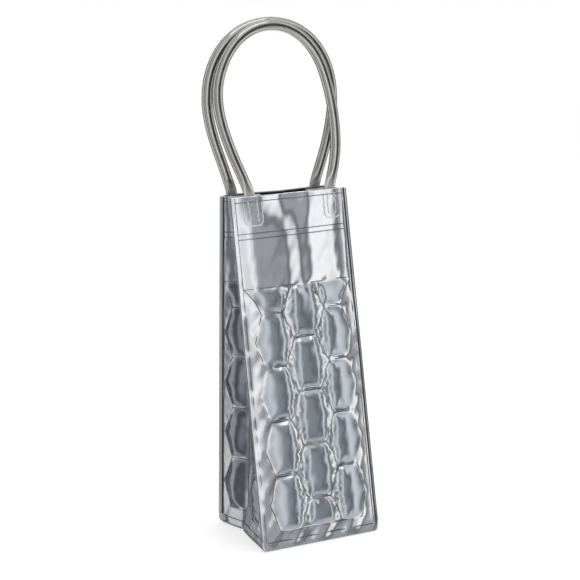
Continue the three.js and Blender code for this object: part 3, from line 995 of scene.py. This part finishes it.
def handle_tube(name, side, around=72):
    """A hollow tube with pressed ends; 'streak' marks its long dark lines, which are painted
    refraction.
    """
    path = handle_path(side)
    z = path[:, 2]
    pressed = 1 - ease(z, tube_start - 3, tube_start + neck)
    wide = tube_outer + (end_wide - tube_outer) * pressed
    thick = tube_outer + (end_thick - tube_outer) * pressed
    tip = np.clip((z - end_low) / 3.0, 0, 1)
    wide = wide * (0.55 + 0.45 * np.sqrt(1 - (1 - tip) ** 2))
    outer = ring_points(path, wide, thick, pressed, around)
    bore_wide = tube_bore + (pressed_bore_wide - tube_bore) * pressed
    bore_thick = tube_bore + (pressed_bore_thick - tube_bore) * pressed
    inner = ring_points(path, np.minimum(bore_wide, wide * 0.7), bore_thick, pressed, around)
    points = np.concatenate([outer.reshape(-1, 3), inner.reshape(-1, 3)]) * MM
    mesh = bpy.data.meshes.new(name)
    mesh.from_pydata(points.tolist(), [], ring_faces(len(path), around))
    turn_outward(mesh)
    turn_share = np.cos(np.linspace(0, 2 * np.pi, around, endpoint=False))
    painted_refraction = np.interp(turn_share * -side, painted_refraction_at, painted_refraction_dark)
    painted_refraction = np.tile(painted_refraction[None], (2 * len(path), 1))
    mark_points(mesh, "painted_refraction", painted_refraction * (1 - 0.75 * np.tile(pressed, 2))[:, None])
    return finished(name, mesh)


front_tube = handle_tube("front_handle", -1)
back_tube = handle_tube("back_handle", 1)
for piece in (front_tube, back_tube):
    print(piece.name, len(piece.data.polygons), "faces")

# %% [markdown]
# ## The finishes
# Clear vinyl is glossy and slightly smoky.  Two or more layers of it send back
# far more light than one sheet of glass, and that is what gives the silver
# look.  Where gel lies behind the film the colour is deeper and bluer.  Faint
# clouds in colour and gloss and a fine unevenness keep it from looking new.

# %% Film with gel behind part of it
def film_finish(name, plain, filled, silver, clear, gloss, uneven):
    """Clear smoky film; the mesh's own 'filled' mark says where the gel is.

    plain and filled are its two colours, silver how much it mirrors and clear
    how much it lets through, both from 0 to 1.
    """
    skin = Finish(bpy.data.materials.new(name))
    place = skin.node("ShaderNodeTexCoord", out="Object")
    marked = skin.node("ShaderNodeAttribute", {"attribute_name": "filled"}, out="Fac")
    cloud = skin.node("ShaderNodeTexNoise", None,
                      {"Vector": place, "Scale": 45.0, "Detail": 3.0})
    fine = skin.node("ShaderNodeTexNoise", None,
                     {"Vector": place, "Scale": 420.0, "Detail": 2.0})
    body = skin.node("ShaderNodeMix", {"data_type": "RGBA"},
                     {0: marked.smooth(0.1, 0.9), 6: plain, 7: filled}, out=2)
    shade = tuple(0.72 * c for c in plain[:3]) + (1,)
    patch = cloud.smooth(0.42, 0.72) * 0.35
    colour = skin.node("ShaderNodeMix", {"data_type": "RGBA"},
                       {0: patch, 6: body, 7: shade}, out=2)
    grain = skin.node("ShaderNodeBump", None, {
        "Strength": uneven, "Distance": 0.0006, "Height": cloud * 0.8 + fine * 0.12})
    surface = skin.node("ShaderNodeBsdfPrincipled", None, {
        "Base Color": colour,
        "Metallic": silver,
        "Roughness": gloss + 0.05 * fine + 0.05 * marked,
        "IOR": 1.53,
        "Transmission Weight": clear,
        "Coat Weight": 0.5,
        "Coat Roughness": 0.11,
        "Normal": grain,
    })
    skin.node("ShaderNodeOutputMaterial", None, {"Surface": surface})
    return skin.owner


films = {}
for name, plain, filled, silver, clear, gloss, uneven in (
    ("smoky_film", (222, 226, 232), (180, 188, 199), 0.66, 0.4, 0.13, 0.25),
    # The sides' film is a darker copy of smoky_film: painted shade, for folded sides that sit in
    # shade.
    ("shaded_side_film", (192, 196, 202), (128, 133, 142), 0.62, 0.4, 0.15, 0.25),
    # The back hem's near-black film is painted shadow: the shade inside the mouth.
    ("mouth_shadow_hem", (52, 54, 60), (52, 54, 60), 0.2, 0.1, 0.12, 0.2),
    ("pressed_weld", (236, 238, 242), (236, 238, 242), 0.15, 0.3, 0.25, 0.2),
    ("hem_film", (180, 183, 188), (168, 176, 186), 0.4, 0.7, 0.08, 0.2),
    ("weld_bead", (120, 126, 134), (150, 158, 168), 0.6, 0.2, 0.08, 0.2),
    ("seam_shadow", (16, 17, 20), (16, 17, 20), 0.0, 0.0, 0.4, 0.2),
):
    films[name] = film_finish(name, rgb(*plain), rgb(*filled), silver, clear, gloss, uneven)
print("film finishes made")


# %% Clear tube
def tube_finish(name, tint, line):
    """Clear tube with long dark lines painted into its colour: painted refraction, for the room
    seen through its bore.
    """
    skin = Finish(bpy.data.materials.new(name))
    painted_refraction = skin.node("ShaderNodeAttribute", {"attribute_name": "painted_refraction"}, out="Fac")
    place = skin.node("ShaderNodeTexCoord", out="Object")
    cloud = skin.node("ShaderNodeTexNoise", None, {"Vector": place, "Scale": 120.0, "Detail": 2.0})
    colour = skin.node("ShaderNodeMix", {"data_type": "RGBA"},
                       {0: painted_refraction * (0.85 + 0.3 * cloud), 6: tint, 7: line}, out=2)
    grain = skin.node("ShaderNodeBump", None, {
        "Strength": 0.05, "Distance": 0.0004, "Height": cloud})
    surface = skin.node("ShaderNodeBsdfPrincipled", None, {
        "Base Color": colour,
        "Roughness": 0.05 + 0.04 * cloud,
        "Metallic": 0.25,
        "IOR": 1.5,
        "Transmission Weight": 0.45,
        "Coat Weight": 0.5,
        "Coat Roughness": 0.03,
        "Normal": grain,
    })
    skin.node("ShaderNodeOutputMaterial", None, {"Surface": surface})
    return skin.owner


# The second colour is the painted refraction of the dark lines along the tube.
clear_tube = tube_finish("clear_tube", rgb(240, 240, 238), rgb(64, 61, 57))
for piece in (front_panel, back_panel, base_film):
    piece.data.materials.append(films["smoky_film"])
# The sides wear the darker copy of the film, which is painted shade.
for piece in (left_panel, right_panel):
    piece.data.materials.append(films["shaded_side_film"])
for piece in (front_hem, left_hem, right_hem):
    piece.data.materials.append(films["hem_film"])
# The back hem wears the painted shadow of the mouth's inside.
back_hem.data.materials.append(films["mouth_shadow_hem"])
for piece in (front_tube, back_tube):
    piece.data.materials.append(clear_tube)
print("finishes on", len(bpy.data.materials), "materials")

# %% [markdown]
# ## Weld lines
# Every weld leaves a fine raised bead: along the zigzags, round the mouth,
# down the fins and round each pressed tube end.  They all follow paths, so one
# Geometry Nodes tree sweeps a small round section along whatever edges it is
# given.  The result is made a plain mesh for each moving part.

# %% A tree that lays a bead along edges
def bead_tree():
    """Edges in, a smooth round bead along each of them out."""
    tree = bpy.data.node_groups.new("lay_weld_bead", "GeometryNodeTree")
    face = tree.interface
    face.new_socket("Geometry", in_out="INPUT", socket_type="NodeSocketGeometry")
    for name, kind in (("Bead radius", "NodeSocketFloat"), ("Spacing", "NodeSocketFloat"),
                       ("Finish", "NodeSocketMaterial")):
        face.new_socket(name, in_out="INPUT", socket_type=kind)
    face.new_socket("Geometry", in_out="OUTPUT", socket_type="NodeSocketGeometry")
    made = {}

    def add(key, kind, mode=None, **links):
        node = tree.nodes.new(kind)
        made[key] = node
        if mode:
            node.mode = mode
        for socket, (source, output) in links.items():
            tree.links.new(made[source].outputs[output], node.inputs[socket.replace("_", " ")])
        return node

    add("in", "NodeGroupInput")
    add("curve", "GeometryNodeMeshToCurve", Mesh=("in", "Geometry"))
    add("even", "GeometryNodeResampleCurve", "LENGTH", Curve=("curve", "Curve"),
        Length=("in", "Spacing"))
    circle = add("round", "GeometryNodeCurvePrimitiveCircle", Radius=("in", "Bead radius"))
    circle.inputs["Resolution"].default_value = 8
    sweep = add("sweep", "GeometryNodeCurveToMesh", Curve=("even", "Curve"),
                Profile_Curve=("round", "Curve"))
    sweep.inputs["Fill Caps"].default_value = True
    add("smooth", "GeometryNodeSetShadeSmooth", Geometry=("sweep", "Mesh"))
    add("real", "GeometryNodeRealizeInstances", Geometry=("smooth", "Geometry"))
    add("film", "GeometryNodeSetMaterial", Geometry=("real", "Geometry"), Material=("in", "Finish"))
    add("out", "NodeGroupOutput", Geometry=("film", "Geometry"))
    return tree


bead = bead_tree()
socket_of = {item.name: item.identifier for item in bead.interface.items_tree
             if item.in_out == "INPUT"}
print("bead tree inputs:", ", ".join(socket_of))


# %% Lay beads along paths and keep the plain mesh
bead_spacing = 1.1 * MM


def weld_lines(name, paths, radius, finish):
    """One piece with a bead along each path (points in metres)."""
    points, edges = [], []
    for path in paths:
        start = len(points)
        points += [tuple(p) for p in path]
        edges += [(start + i, start + i + 1) for i in range(len(path) - 1)]
    mesh = bpy.data.meshes.new(name)
    mesh.from_pydata(points, edges, [])
    piece = bpy.data.objects.new(name, mesh)
    bpy.context.scene.collection.objects.link(piece)
    layer = piece.modifiers.new("bead", "NODES")
    layer.node_group = bead
    layer[socket_of["Bead radius"]] = radius * MM
    layer[socket_of["Spacing"]] = bead_spacing
    layer[socket_of["Finish"]] = finish
    done = piece.evaluated_get(bpy.context.evaluated_depsgraph_get())
    plain = bpy.data.meshes.new_from_object(done)
    piece.modifiers.clear()
    piece.data = plain
    plain.name = name
    if not plain.materials:
        plain.materials.append(finish)
    print(name, len(plain.polygons), "faces")
    return piece


# %% Where each kind of weld runs on a wall
hem_lines, foot_line = (28.0, 32.0, 4.6), 6.5  # down from the rim, and up from the foot


def wall_path(side, across, level, proud):
    """Points on the waving film of a wall."""
    across, level = np.broadcast_arrays(np.asarray(across, float), np.asarray(level, float))
    return on_wall(side, across, level, proud + wave(side, across, level))


def run(start, end, step=2.0):
    return np.linspace(start, end, max(2, int(abs(end - start) / step) + 1))


def quilt_paths(side, layout, proud):
    """The zigzags, a little unsteady, and the two arcs of each level weld."""
    row = np.linspace(0, rows, 109)
    rng = np.random.default_rng(40 + side)
    paths = []
    for number, edge in enumerate(layout.edges):
        jagged = 0.55 if number in layout.puckered else 0.12
        sway = jagged * rng.standard_normal(len(row))
        paths.append(wall_path(side, edge(row) + sway, weld_level(row), proud))
    for number, bars in layout.bars.items():
        for start, end in bars:
            paths.append(wall_path(side, run(start, end), weld_level(number), proud))
            if 0 < number < rows:
                across = run(start, end, 1.0)
                arc = lens_high * np.sin(np.pi * (across - start) / (end - start))
                paths.append(wall_path(side, across, weld_level(number) + arc, proud))
    return paths


def end_outline(side, foot, proud):
    """The rounded weld round a pressed tube end."""
    half, corner, low = 7.2, 4.5, slope - 22.5
    angle = np.linspace(np.pi, 1.5 * np.pi, 7)
    left = [(foot - half, lv) for lv in np.linspace(slope - 5, low + corner, 8)]
    turn_left = [(foot - half + corner + corner * math.cos(a), low + corner + corner * math.sin(a))
                 for a in angle]
    half_path = left + turn_left
    path = np.array(half_path + [(2 * foot - x, y) for x, y in half_path[::-1]])
    return wall_path(side, path[:, 0], path[:, 1], proud)


def tube_edges(side, foot, proud):
    """The two ragged welds that hold the flattened tube inside its outline."""
    rng = np.random.default_rng(70 + int(foot))
    level = run(slope - 19.5, slope - 3.5, 0.9)
    return [wall_path(side, foot + hand * 3.4 + 0.35 * rng.standard_normal(len(level)),
                      level, proud) for hand in (-1, 1)]


def mouth_paths(side, proud):
    wide = run(-46.5, 46.5)
    return [wall_path(side, wide, slope - drop, proud) for drop in hem_lines]


def seam_paths(side, places, proud):
    return [wall_path(side, hand * place, run(8.0, slope - 1.0), proud)
            for hand in (-1, 1) for place in places]


print("hem lines", hem_lines, "mm below the rim")

# %% Beads on the two walls
beads = {}
for side, wall, layout in ((-1, "front", front_layout), (1, "back", back_layout)):
    lines = quilt_paths(side, layout, -0.25) + mouth_paths(side, -0.2)
    lines += seam_paths(side, (48.7, 45.6), -0.4)
    lines.append(wall_path(side, run(-44, 44), foot_line, -0.2))
    beads[wall] = weld_lines(wall + "_weld_lines", lines, 0.42, films["weld_bead"])
    beads[wall + "_ends"] = weld_lines(
        wall + "_end_welds",
        [end_outline(side, foot, 0.0) for foot in feet[side]]
        + [edge for foot in feet[side] for edge in tube_edges(side, foot, 0.0)],
        0.45, films["pressed_weld"])
    # Near-black beads by the fins are painted shadow: the dark line where a folded side meets a
    # fin.
    shadows = [wall_path(side, 47.3, run(6.0, slope - 1.0), -0.35)]
    shadows += seam_paths(side, (47.1,), -3.0)
    beads[wall + "_seam"] = weld_lines(wall + "_seam_shadow_lines", shadows, 0.75, films["seam_shadow"])

# %% Beads on the folded sides
def fold_path(hand, shares, levels, proud):
    shares, levels = np.broadcast_arrays(np.asarray(shares, float), np.asarray(levels, float))
    return np.array([on_fold(hand, np.array([s]), lv, proud)[0]
                     for s, lv in zip(shares, levels)])


def side_paths(hand, proud=0.8):
    whole = 2 * side_sheet.width
    row = np.linspace(0, rows, 37)
    level = weld_level(row) + side_lift
    paths = []
    for edge in side_sheet.edges:
        share = edge(row) / whole
        paths += [fold_path(hand, share, level, proud), fold_path(hand, 1 - share, level, proud)]
    for number, bars in side_sheet.bars.items():
        for start, end in bars:
            share = run(start, end, 1.5) / whole
            here = weld_level(number) + side_lift
            paths += [fold_path(hand, share, here, proud), fold_path(hand, 1 - share, here, proud)]
    whole_way = np.linspace(0.05, 0.95, 60)
    levels = [slope - drop - 0.4 for drop in hem_lines] + [foot_line]
    return paths + [fold_path(hand, whole_way, here, proud) for here in levels]


for hand, name in ((-1, "left"), (1, "right")):
    beads[name] = weld_lines(name + "_weld_lines", side_paths(hand), 0.38, films["weld_bead"])

# %% [markdown]
# ## Which piece moves with which
# The front wall swings out to open the mouth and the back wall stays.  The
# folded sides and the tubes are left where they stand, their places baked
# into their meshes.

# %% The walls and the folded sides
wall_nodes = ("outer_film", "inner_film", "gel_left", "gel_middle", "gel_right")
for piece, wall, body in ((front_panel, "front", "front_wall"), (back_panel, "back", "bag")):
    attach(piece, body)
    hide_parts(*[f"{wall}_{part}" for part in wall_nodes])
    for kind in ("", "_seam", "_ends"):
        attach(beads[wall + kind], body)
        beads[wall + kind]
for piece, hand in ((left_panel, "left"), (right_panel, "right")):
    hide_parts(*[f"{hand}_{part}" for part in
                         ("outer_film", "inner_film", "gel_front", "gel_back")])
    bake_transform(piece)
    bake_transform(beads[hand])


# %% The hems and the base; the fold's length at the mouth and the base's area are worked out
fold_round = np.hypot(*(np.diff(line) for line in fold_line(wall_height))).sum()
for piece, wall, body in ((front_hem, "front", "front_wall"), (back_hem, "back", "bag")):
    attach(piece, body)
    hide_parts(wall + "_hem")
    wall + "_wall_panel"
for piece, hand in ((left_hem, "left"), (right_hem, "right")):
    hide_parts(hand + "_hem")
    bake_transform(piece)
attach(base_film, "bag")
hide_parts("base_panel")
base_line = np.linspace(-base_depth / 2, base_depth / 2, 400)
base_area = float(2 * base_edge(base_line, 1).mean() * base_depth) * MM ** 2

# %% The handles, baked where they stand
for piece, wall, body, swing_body, side in (
    (front_tube, "front", "front_wall", "front_handle", -1),
    (back_tube, "back", "bag", "back_handle", 1),
):
    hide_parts(wall + "_handle_tube", wall + "_handle_left_end",
                wall + "_handle_right_end")
    side * 0.0084
    side * 0.0084
    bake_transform(piece)

# %% Bring the scene up to date
bpy.context.view_layer.update()
